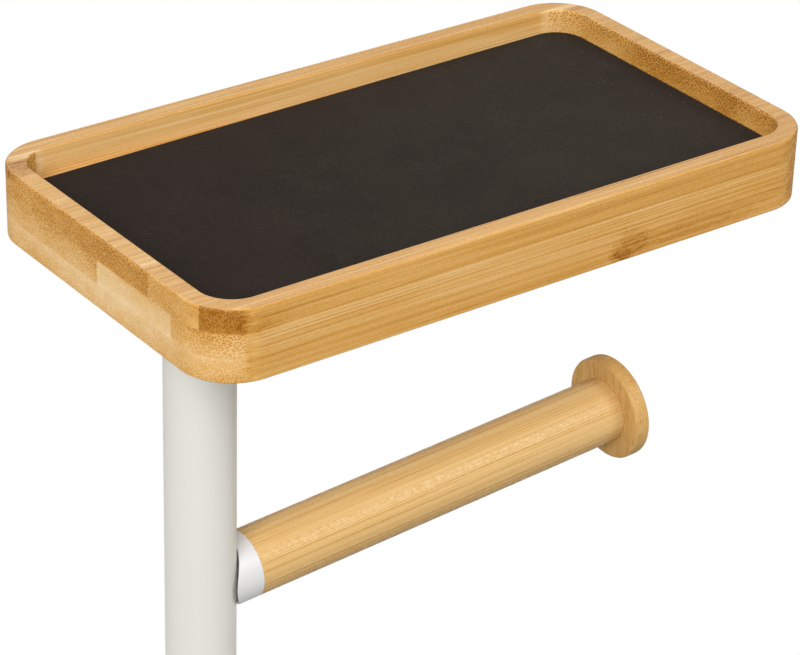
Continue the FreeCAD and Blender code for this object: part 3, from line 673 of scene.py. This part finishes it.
# %% [markdown]
# ## White coat and white plastic
# The pole is steel tube with a baked white powder coat: satin, a little warm, with the faint orange peel
# that the powder leaves when it melts. The collar is moulded plastic, whiter and smoother.

# %% White finishes
WHITE_CLOUD = (40.0, 40.0, 25.0)
WHITE_UNEVEN = 0.06
POWDER_RELIEF = 0.0004


def make_white(name, colour, shade, roughness, peel, strength):
    bench, shader = new_material(name)
    place = bench.add("TexCoord").outputs["Object"]
    cloud = bench.noise(place, WHITE_CLOUD, detail=3.0)
    fine = bench.noise(place, peel)
    bench.feed(shader.inputs, {
        "Base Color": bench.mix(cloud, colour, shade),
        "Roughness": bench.ramp_value(fine, 0.2, 0.8, roughness - WHITE_UNEVEN, roughness + WHITE_UNEVEN),
        "Normal": bench.bump(fine, strength, POWDER_RELIEF),
    })


make_white("white_coat", paint(228, 226, 218), paint(225, 223, 214), 0.45, 900.0, 0.05)
make_white("white_plastic", paint(226, 226, 225), paint(223, 223, 222), 0.38, 1400.0, 0.03)
print("two white finishes")

# %% [markdown]
# ## Mat
# The mat is a thin cut sheet, nearly black with a brown cast. It is matt, with a fine leathery mottle,
# and a few specks of dust and small pits catch the eye near its right end. Its colour is also painted a
# little paler from its left end to its right, a painted sheen.

# %% Mat finish
MAT_GLOSS = 0.03
MAT_BUMP = 0.35
MAT_RELIEF = 0.0003
MAT_DARK = paint(38, 34, 29)
MAT_PALE = paint(53, 47, 41)
MAT_WARM = paint(48, 39, 37)
MAT_PORE = paint(30, 27, 23)
# The pale tint that the mat is painted towards at its right end, and how far: a painted sheen.
MAT_SHEEN_TINT = paint(120, 112, 102)
MAT_SHEEN_SHARE = 0.06
SPECK = paint(104, 97, 90)
CLOUD_WAVES = 60.0
BLOTCH_WAVES = 18.0
MOTTLE_WAVES = 1500.0
PORE_WAVES = 3500.0
SPECK_CELLS = 400.0
SPECK_SIZE = 0.07
PITLESS = 0.97
DUSTLESS = 0.82
DUST_FROM = 0.7

mat_low, mat_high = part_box("tray_mat")


def make_mat_finish():
    bench, shader = new_material("mat_sheet")
    place = bench.add("TexCoord").outputs["Object"]
    cloud = bench.noise(place, CLOUD_WAVES, detail=3.0, roughness=0.6)
    mottle = bench.noise(place, MOTTLE_WAVES, detail=3.0, roughness=0.6)
    grain = bench.noise(place, PORE_WAVES)
    shade = bench.shift_by(bench.ramp_value(cloud, 0.3, 0.7, 0.35, 0.65), mottle, 2.0)
    colour = bench.mix(bench.ramp_value(shade, 0.0, 1.0), MAT_DARK, MAT_PALE)
    blotch = bench.noise(place, BLOTCH_WAVES, detail=1.0)
    colour = bench.mix(bench.ramp_value(blotch, 0.4, 0.7, 0.0, 0.5), colour, MAT_WARM)
    colour = bench.mix(bench.ramp_value(grain, 0.55, 0.75, 0.0, 0.5), colour, MAT_PORE)
    across = bench.add("SeparateXYZ", {0: place}).outputs["X"]
    # The mat is painted paler from its left end to its right: a painted sheen.
    painted_sheen_share = bench.ramp_value(across, mat_low.x, mat_high.x, 0.0, MAT_SHEEN_SHARE)
    colour = bench.mix(painted_sheen_share, colour, MAT_SHEEN_TINT)
    feeds = {"Vector": place, "Scale": SPECK_CELLS}
    cells = bench.add("TexVoronoi", feeds, voronoi_dimensions="2D").outputs
    chance = bench.add("SeparateColor", {0: cells["Color"]}).outputs
    speck = bench.math("LESS_THAN", cells["Distance"], SPECK_SIZE)
    clean = bench.ramp_value(across, mat_high.x * DUST_FROM, mat_high.x, 1.0, DUSTLESS)
    pit = bench.math("MULTIPLY", speck, bench.math("GREATER_THAN", chance[1], PITLESS))
    colour = bench.mix(pit, colour, MAT_PORE)
    dust = bench.math("MULTIPLY", speck, bench.math("GREATER_THAN", chance[0], clean))
    bench.feed(shader.inputs, {
        "Base Color": bench.mix(dust, colour, SPECK),
        "Roughness": bench.ramp_value(grain, 0.2, 0.8, 0.6, 0.8),
        "Normal": bench.bump(mottle, MAT_BUMP, MAT_RELIEF),
        "Specular IOR Level": MAT_GLOSS,
    })


make_mat_finish()
print("mat finish")

# %% [markdown]
# ## Steel, brass and rubber
# Screws and studs are zinc plated, plugs are bare turned steel, the ballast is a dark painted plate, the
# thread insert is brass and the feet are rubber. They share one recipe: a cloudy tint, fine scratches and
# a changing roughness.

# %% Metal and rubber finishes
SCRATCH_RELIEF = 0.0003
HARD_CLOUD = 90.0
HARD_UNEVEN = 0.1
TURNED = (300.0, 300.0, 5000.0)
EVEN = 1800.0


def make_hard(name, light, dark, roughness, metallic, scratch, strength):
    bench, shader = new_material(name)
    place = bench.add("TexCoord").outputs["Object"]
    cloud = bench.noise(place, HARD_CLOUD, detail=4.0, roughness=0.6)
    fine = bench.noise(place, scratch, detail=3.0)
    bench.feed(shader.inputs, {
        "Base Color": bench.mix(bench.ramp_value(cloud, 0.3, 0.7), light, dark),
        "Roughness": bench.ramp_value(fine, 0.2, 0.8, roughness - HARD_UNEVEN, roughness + HARD_UNEVEN),
        "Normal": bench.bump(fine, strength, SCRATCH_RELIEF),
        "Metallic": metallic,
    })


make_hard("zinc_steel", paint(206, 207, 203), paint(182, 184, 182), 0.32, 1.0, EVEN, 0.08)
make_hard("plain_steel", paint(190, 188, 184), paint(160, 158, 155), 0.36, 1.0, TURNED, 0.15)
make_hard("ballast_steel", paint(62, 63, 65), paint(48, 49, 51), 0.55, 0.0, EVEN, 0.25)
make_hard("insert_brass", paint(214, 178, 98), paint(186, 148, 74), 0.30, 1.0, TURNED, 0.1)
make_hard("pad_rubber", paint(46, 46, 46), paint(34, 34, 35), 0.8, 0.0, EVEN, 0.3)
print("five hard finishes")

# %% [markdown]
# ## Finishes on the solid model
# Studs, plugs, the insert and the dowel are hidden inside the stand and keep the solid model's own shape.
# Every solid takes the finish of its material slot, so that whatever shows in a cut or a gap is right.

# %% Finishes for the solids
for part in frame["record"]["subparts"]:
    for place in frame["nodes"][part["node"]].material_slots:
        place.material = FINISHES[part["material_slot"]]

# %% [markdown]
# ## Modelling helpers
# A piece starts as a primitive at its size and place. Faces and edges are picked by where they are, then
# shaped in edit mode, and modifiers finish the job. Each finished piece lies at the origin with its place
# in its mesh, rides on the solid model's body, and stands for the solid it replaces.

# %% Starting and picking
ROUND_SIDES = 96
SMALL_SIDES = 32
TOUCH = 1e-6
LEVEL = 0.999


def start(add, name, **options):
    """Adds one primitive, selected alone, with its place and turn in its mesh."""
    bpy.ops.object.select_all(action="DESELECT")
    add(**options)
    piece = bpy.context.object
    piece.name = name
    piece.data.name = name
    bpy.ops.object.transform_apply(location=True, rotation=True, scale=True)
    return piece


def start_box(name, low, high):
    low, high = Vector(low), Vector(high)
    middle = (low + high) / 2
    return start(bpy.ops.mesh.primitive_cube_add, name, size=1.0, location=middle, scale=high - low)


def start_round(name, radius, from_point, to_point, sides=ROUND_SIDES):
    """A cylinder between two points on its axis."""
    from_point, to_point = Vector(from_point), Vector(to_point)
    axis = to_point - from_point
    return start(
        bpy.ops.mesh.primitive_cylinder_add, name, vertices=sides, radius=radius, depth=axis.length,
        location=(from_point + to_point) / 2, rotation=axis.to_track_quat("Z", "Y").to_euler(),
    )


def pick(kind, elements, wanted):
    """Selects what passes a test, and stays in edit mode."""
    bpy.ops.object.mode_set(mode="EDIT")
    bpy.ops.mesh.select_mode(type=kind)
    bpy.ops.mesh.select_all(action="DESELECT")
    bpy.ops.object.mode_set(mode="OBJECT")
    for element in elements:
        element.select = wanted(element)
    bpy.ops.object.mode_set(mode="EDIT")


def pick_faces(piece, wanted):
    """Picks faces by their middle and their normal."""
    pick("FACE", piece.data.polygons, lambda face: wanted(face.center, face.normal))


def pick_edges(piece, wanted):
    """Picks edges by their two ends."""
    points = piece.data.vertices
    pick("EDGE", piece.data.edges, lambda edge: wanted(*(points[end].co for end in edge.vertices)))


def faces_up(middle, normal):
    return normal.z > LEVEL


def faces_down(middle, normal):
    return normal.z < -LEVEL


def faces_end(middle, normal):
    return abs(normal.z) > LEVEL


def stands_upright(first, second):
    return (first - second).xy.length < TOUCH


def lies_at(height):
    """A test for the edges that lie level at one height."""
    return lambda first, second: max(abs(first.z - height), abs(second.z - height)) < TOUCH


print("helpers for starting and picking")

# %% [markdown]
# Bevels and cuts could stay as modifiers, but each is applied at once, so that the next step can pick from
# real faces. Chosen edges are rounded in edit mode, and what is still sharp gets a fine bevel at the end.

# %% Shaping and finishing
SMOOTH_ANGLE = math.radians(35.0)
EDGE_ANGLE = math.radians(40.0)


def leave_edit():
    bpy.ops.object.mode_set(mode="OBJECT")


def round_corners(piece, radius, segments=20):
    pick_edges(piece, stands_upright)
    bpy.ops.mesh.bevel(offset=radius, segments=segments, affect="EDGES", clamp_overlap=False)
    leave_edit()


def ease_level(piece, height, width, segments):
    """Rounds the edges that lie level at one height."""
    pick_edges(piece, lies_at(height))
    bpy.ops.mesh.bevel(offset=width, segments=segments, affect="EDGES")
    leave_edit()


def draw_out(distance):
    """Extrudes what is picked, straight up or down."""
    bpy.ops.mesh.extrude_region_move(TRANSFORM_OT_translate={"value": (0, 0, distance)})


def narrow(share, centre):
    """Shrinks what is picked towards an upright axis."""
    bpy.ops.transform.resize(value=(share, share, 1.0), center_override=centre)


def activate(piece):
    leave_edit()
    bpy.ops.object.select_all(action="DESELECT")
    piece.select_set(True)
    bpy.context.view_layer.objects.active = piece


def apply_modifier(piece, kind, **options):
    activate(piece)
    modifier = piece.modifiers.new(kind.lower(), kind)
    for option, value in options.items():
        setattr(modifier, option, value)
    bpy.ops.object.modifier_apply(modifier=modifier.name)


def ease_edges(piece, width, segments=3):
    apply_modifier(
        piece, "BEVEL", width=width, segments=segments, limit_method="ANGLE", angle_limit=EDGE_ANGLE
    )


def cut_away(piece, cutter):
    apply_modifier(piece, "BOOLEAN", operation="DIFFERENCE", solver="EXACT", object=cutter)
    bpy.data.objects.remove(cutter, do_unlink=True)


def copy_to(piece, offset):
    """A copy with its own mesh, moved in edit mode."""
    activate(piece)
    bpy.ops.object.duplicate()
    bpy.ops.object.mode_set(mode="EDIT")
    bpy.ops.mesh.select_all(action="SELECT")
    bpy.ops.transform.translate(value=offset)
    leave_edit()
    return bpy.context.object


def repeat(piece, places):
    """Copies a piece modelled at the first place to the others, and joins them into one."""
    first = Vector(places[0])
    copies = [copy_to(piece, Vector(place) - first) for place in places[1:]]
    activate(piece)
    for copy in copies:
        copy.select_set(True)
    bpy.ops.object.join()
    return piece


def settle(piece, slot, node, body="stand"):
    """Smooths the shading, gives the finish and ties the piece to the solid model."""
    activate(piece)
    bpy.ops.object.shade_smooth_by_angle(angle=SMOOTH_ANGLE)
    apply_modifier(piece, "WEIGHTED_NORMAL", keep_sharp=True)
    piece.data.materials.clear()
    piece.data.materials.append(FINISHES[slot])
    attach(piece, body)
    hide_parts(node)
    print(piece.name, "faces:", len(piece.data.polygons))


# %% [markdown]
# ## Tray
# The tray is one board with rounded corners, milled out to leave a narrow rim all round. Insetting the
# top face keeps the rim the same width round the corners, as a router does, and pushing the inner face
# down makes the pocket. The rim's edges are eased more than the bottom edge, which is only just broken.

# %% Tray board
TRAY_RIM = 6.0 * MM
POCKET_DEPTH = 8.5 * MM
TRAY_EASING = 0.8 * MM
TRAY_FOOT_EASING = 0.4 * MM

tray = start_box("tray_board", TRAY_LOW, TRAY_HIGH)
round_corners(tray, TRAY_CORNER)
ease_level(tray, TRAY_HIGH.z, TRAY_EASING, segments=4)
ease_level(tray, TRAY_LOW.z, TRAY_FOOT_EASING, segments=3)
pick_faces(tray, faces_up)
bpy.ops.mesh.inset(thickness=TRAY_RIM - TRAY_EASING, use_even_offset=True)
draw_out(-POCKET_DEPTH)
bpy.ops.mesh.select_more()
bpy.ops.mesh.region_to_loop()
bpy.ops.mesh.bevel(offset=TRAY_EASING, segments=4, affect="EDGES")
leave_edit()
settle(tray, "tray_bamboo", "tray")

# %% [markdown]
# ## Mat
# A loose sheet lies in the pocket, a little smaller than it. Its back edge was cut out of square, so that
# a thin wedge of bare wood shows behind it: one slanting cut takes that wedge off a rounded sheet.

# %% Mat sheet
MAT_CORNER = 9.2 * MM
MAT_TRIM = 3.4 * MM
MAT_GAP = 0.4 * MM
MAT_EASING = 0.25 * MM

half_x = TRAY_HIGH.x - TRAY_RIM - MAT_GAP
half_y = TRAY_HIGH.y - TRAY_RIM - MAT_GAP
mat = start_box("tray_mat_sheet", (-half_x, -half_y, mat_low.z), (half_x, half_y, mat_high.z))
round_corners(mat, MAT_CORNER)
bpy.ops.object.mode_set(mode="EDIT")
bpy.ops.mesh.select_all(action="SELECT")
bpy.ops.mesh.bisect(
    plane_co=(half_x, half_y, mat_low.z), plane_no=(-MAT_TRIM, 2 * half_x, 0), use_fill=True,
    clear_outer=True,
)
leave_edit()
ease_edges(mat, MAT_EASING, segments=2)
settle(mat, "mat_sheet", "tray_mat", body="mat")

# %% [markdown]
# ## Pole
# The pole is two lengths of round tube that screw together half way up. A closed cylinder gets its bore
# by insetting both ends and bridging the two inner loops, so that it is a true tube. The washer under the
# base is made the same way.

# %% Pole lengths
POLE_X = -67.8 * MM
POLE_RADIUS = 10.0 * MM
POLE_WALL = 1.2 * MM
POLE_EASING = 0.3 * MM


def make_ring(name, slot, node, radius, wall, easing):
    low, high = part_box(node)
    ring = start_round(name, radius, (POLE_X, 0, low.z), (POLE_X, 0, high.z))
    pick_faces(ring, faces_end)
    bpy.ops.mesh.inset(thickness=wall)
    bpy.ops.mesh.bridge_edge_loops()
    leave_edit()
    ease_edges(ring, easing)
    settle(ring, slot, node)


for node in ("pole_upper", "pole_lower"):
    make_ring(node + "_tube", "white_coat", node, POLE_RADIUS, POLE_WALL, POLE_EASING)

# %% [markdown]
# ## Arm
# The arm leaves the pole at a slight upward slope, so that the roll doesn't slide off. A white collar,
# hollowed at the back, sits against the tube, a turned bamboo rod follows, and a disc closes the end. All
# three are cylinders on one sloping axis.

# %% Arm pieces
ARM_ROOT = Vector((POLE_X, 0.0, 531.85 * MM))
ARM_AXIS = Vector(ARM_GRAIN)
ARM_RADIUS = 9.9 * MM
ROD_START = 14.8 * MM
ROD_LENGTH = 129.3 * MM
ROD_EASING = 0.25 * MM
DISC_START = ROD_START + ROD_LENGTH
DISC_THICKNESS = 5.0 * MM
DISC_RADIUS = 15.9 * MM
DISC_EASING = 0.9 * MM
SADDLE_RADIUS = 13.2 * MM
SADDLE_GAP = 0.2 * MM
SADDLE_BACK = SADDLE_RADIUS - POLE_RADIUS - SADDLE_GAP
SADDLE_REACH = Vector((0.0, 0.0, 20.0)) * MM
SADDLE_SIDES = 192
COLLAR_EASING = 0.3 * MM


def on_arm(distance):
    return ARM_ROOT + ARM_AXIS * distance


collar = start_round("collar_sleeve", ARM_RADIUS, on_arm(0.0), on_arm(ROD_START))
saddle_axis = ARM_ROOT - Vector((SADDLE_BACK, 0.0, 0.0))
saddle = start_round(
    "saddle_cutter", SADDLE_RADIUS, saddle_axis - SADDLE_REACH, saddle_axis + SADDLE_REACH, SADDLE_SIDES
)
cut_away(collar, saddle)
ease_edges(collar, COLLAR_EASING, segments=2)
settle(collar, "white_plastic", "arm_collar")

rod = start_round("rod_turned", ARM_RADIUS, on_arm(ROD_START), on_arm(DISC_START))
ease_edges(rod, ROD_EASING, segments=2)
settle(rod, "rod_bamboo", "roll_rod")

disc = start_round("end_disc_turned", DISC_RADIUS, on_arm(DISC_START), on_arm(DISC_START + DISC_THICKNESS))
ease_edges(disc, DISC_EASING, segments=5)
settle(disc, "disc_bamboo", "end_disc")

# %% [markdown]
# ## Flange
# A round plate under the tray carries it. It is welded to the tube, and the bead of the weld shows as a
# small sloping ring below the plate: the bottom face is inset, drawn down and narrowed to the tube.

# %% Flange with its weld
FLANGE_RADIUS = 25.0 * MM
FLANGE_EASING = 0.5 * MM
BEAD_WIDTH = 2.2 * MM
BEAD_HEIGHT = 2.0 * MM

flange_low, flange_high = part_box("tray_flange")
flange = start_round("flange_plate", FLANGE_RADIUS, (POLE_X, 0, flange_low.z), (POLE_X, 0, flange_high.z))
for height in (flange_low.z, flange_high.z):
    ease_level(flange, height, FLANGE_EASING, segments=3)
pick_faces(flange, faces_down)
bpy.ops.mesh.inset(thickness=FLANGE_RADIUS - FLANGE_EASING - POLE_RADIUS - BEAD_WIDTH)
draw_out(-BEAD_HEIGHT)
narrow(POLE_RADIUS / (POLE_RADIUS + BEAD_WIDTH), (POLE_X, 0, flange_low.z))
leave_edit()
settle(flange, "white_coat", "tray_flange")

# %% [markdown]
# ## Screws and bolt
# Pan-head screws hold the flange and the ballast plate, and one button-head bolt pulls the pole onto the
# base. Each starts as its head: the lower edge is rounded into a dome, the shank is drawn out of the
# upper face, and the driver's recess is cut from below. A screw is modelled once and copied.

# %% Screws
SCREW_HEAD = 4.0 * MM
SCREW_HEAD_HEIGHT = 2.4 * MM
SCREW_SHANK = 2.0 * MM
SCREW_DOME = 1.3 * MM
CROSS_LENGTH = 4.2 * MM
CROSS_WIDTH = 0.9 * MM
CROSS_DEPTH = 1.3 * MM
DOME_STEPS = 6
TIP_SHARE = 0.5


def rows_of(half_x, half_y, height, middle=0.0, columns=(-1, 1)):
    """Places in a row along the front and one along the back."""
    return [(middle + across * half_x, along * half_y, height) for across in columns for along in (-1, 1)]


def make_screw(name, seat, head, head_height, dome, shank, length, tip):
    """A screw that points up from its seat, without its driver's recess."""
    seat = Vector(seat)
    bottom = seat - Vector((0, 0, head_height))
    screw = start_round(name, head, bottom, seat, SMALL_SIDES)
    ease_level(screw, bottom.z, dome, segments=DOME_STEPS)
    pick_faces(screw, faces_up)
    bpy.ops.mesh.inset(thickness=head - shank)
    draw_out(length - tip)
    draw_out(tip)
    narrow(TIP_SHARE, seat)
    leave_edit()
    return screw


def cut_cross(screw, seat):
    bottom = Vector(seat) - Vector((0, 0, SCREW_HEAD_HEIGHT))
    for reach in ((CROSS_LENGTH, CROSS_WIDTH), (CROSS_WIDTH, CROSS_LENGTH)):
        half = Vector((reach[0] / 2, reach[1] / 2, CROSS_DEPTH))
        cut_away(screw, start_box("cross_cutter", bottom - half, bottom + half))


def make_screws(name, node, places, length):
    screw = make_screw(
        name, places[0], SCREW_HEAD, SCREW_HEAD_HEIGHT, SCREW_DOME, SCREW_SHANK, length, SCREW_SHANK
    )
    cut_cross(screw, places[0])
    settle(repeat(screw, places), "zinc_steel", node)


TRAY_SCREW_HALF = 13.0 * MM
TRAY_SCREW_LENGTH = 11.0 * MM
tray_screw_places = rows_of(TRAY_SCREW_HALF, TRAY_SCREW_HALF, flange_low.z, middle=POLE_X)
make_screws("tray_screw_set", "tray_screws", tray_screw_places, TRAY_SCREW_LENGTH)

BALLAST_LOW, BALLAST_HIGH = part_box("ballast_plate")
BALLAST_SCREW_INSET = 8.0 * MM
BALLAST_SCREW_LENGTH = 12.0 * MM
ballast_screw_half = BALLAST_HIGH - Vector((BALLAST_SCREW_INSET, BALLAST_SCREW_INSET, 0))
ballast_screw_places = rows_of(*ballast_screw_half.xy, BALLAST_LOW.z, columns=(-1, 0, 1))
make_screws("ballast_screw_set", "ballast_screws", ballast_screw_places, BALLAST_SCREW_LENGTH)

# %% [markdown]
# The bolt is a larger screw whose hexagon socket is cut with a cylinder of six sides, and a washer spreads
# its pull over the board.

# %% Bolt and washer
BOLT_HEAD = 7.0 * MM
BOLT_HEAD_HEIGHT = 4.4 * MM
BOLT_DOME = 2.6 * MM
BOLT_SHANK = 4.0 * MM
BOLT_LENGTH = 28.0 * MM
BOLT_TIP = 1.0 * MM
SOCKET_RADIUS = 2.9 * MM
SOCKET_DEPTH = 2.4 * MM
HEXAGON = 6
WASHER_RADIUS = 8.0 * MM
WASHER_WALL = 3.6 * MM
WASHER_EASING = 0.2 * MM

washer_low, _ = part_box("base_washer")
bolt_seat = Vector((POLE_X, 0, washer_low.z))
bolt = make_screw(
    "base_bolt_button", bolt_seat, BOLT_HEAD, BOLT_HEAD_HEIGHT, BOLT_DOME, BOLT_SHANK, BOLT_LENGTH, BOLT_TIP
)
bolt_bottom = bolt_seat - Vector((0, 0, BOLT_HEAD_HEIGHT))
socket_depth = Vector((0, 0, SOCKET_DEPTH))
cut_away(bolt, start_round(
    "socket_cutter", SOCKET_RADIUS, bolt_bottom - socket_depth, bolt_bottom + socket_depth, HEXAGON
))
settle(bolt, "zinc_steel", "base_bolt")
make_ring("base_washer_ring", "zinc_steel", "base_washer", WASHER_RADIUS, WASHER_WALL, WASHER_EASING)

# %% [markdown]
# ## Base
# A bamboo board of the same make as the tray, with a recess milled underneath for the ballast plate and a
# shallow socket on top for the pole. The board's outline is eased first, more on top where hands meet it,
# and the recess and the socket are then cut with a rounded block and a short cylinder.

# %% Base board
BASE_EASING = 1.6 * MM
BASE_FOOT_EASING = 0.8 * MM
RECESS_ROOM = 0.25 * MM
RECESS_DEPTH = 9.0 * MM
RECESS_CORNER = 8.0 * MM
POLE_ROOM = 0.1 * MM
POLE_SINK = Vector((0.0, 0.0, 5.0)) * MM
MILLED_EASING = 0.3 * MM

base = start_box("base_block", BASE_LOW, BASE_HIGH)
round_corners(base, BASE_CORNER)
ease_level(base, BASE_HIGH.z, BASE_EASING, segments=6)
ease_level(base, BASE_LOW.z, BASE_FOOT_EASING, segments=4)
recess_half = Vector((BALLAST_HIGH.x + RECESS_ROOM, BALLAST_HIGH.y + RECESS_ROOM, RECESS_DEPTH))
base_foot = Vector((0, 0, BASE_LOW.z))
recess = start_box("recess_cutter", base_foot - recess_half, base_foot + recess_half)
round_corners(recess, RECESS_CORNER, segments=10)
cut_away(base, recess)
socket_top = Vector((POLE_X, 0, BASE_HIGH.z))
cut_away(base, start_round(
    "socket_cutter", POLE_RADIUS + POLE_ROOM, socket_top - POLE_SINK, socket_top + POLE_SINK
))
ease_edges(base, MILLED_EASING, segments=2)
settle(base, "base_bamboo", "base_board")

# %% [markdown]
# A painted steel plate in the recess makes the foot heavy, and four rubber pads keep it from sliding. Each
# pad is pushed in a little underneath, so that it stands on a ring as real pads do.

# %% Ballast plate and pads
BALLAST_CORNER = 8.0 * MM
BALLAST_EASING = 0.6 * MM
PAD_RADIUS = 8.0 * MM
PAD_INSET = 18.0 * MM
PAD_EASING = 0.8 * MM
PAD_LIP = 2.4 * MM
PAD_HOLLOW = 0.5 * MM

ballast = start_box("ballast_slab", BALLAST_LOW, BALLAST_HIGH)
round_corners(ballast, BALLAST_CORNER, segments=10)
ease_edges(ballast, BALLAST_EASING)
settle(ballast, "ballast_steel", "ballast_plate")

pad_low, pad_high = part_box("base_pads")
pad_places = rows_of(BASE_HIGH.x - PAD_INSET, BASE_HIGH.y - PAD_INSET, pad_low.z)
pad_foot = Vector(pad_places[0])
pad = start_round("base_pad_set", PAD_RADIUS, pad_foot, pad_foot + Vector((0, 0, pad_high.z - pad_low.z)))
ease_level(pad, pad_low.z, PAD_EASING, segments=3)
pick_faces(pad, faces_down)
bpy.ops.mesh.inset(thickness=PAD_LIP)
draw_out(PAD_HOLLOW)
leave_edit()
settle(repeat(pad, pad_places), "pad_rubber", "base_pads")
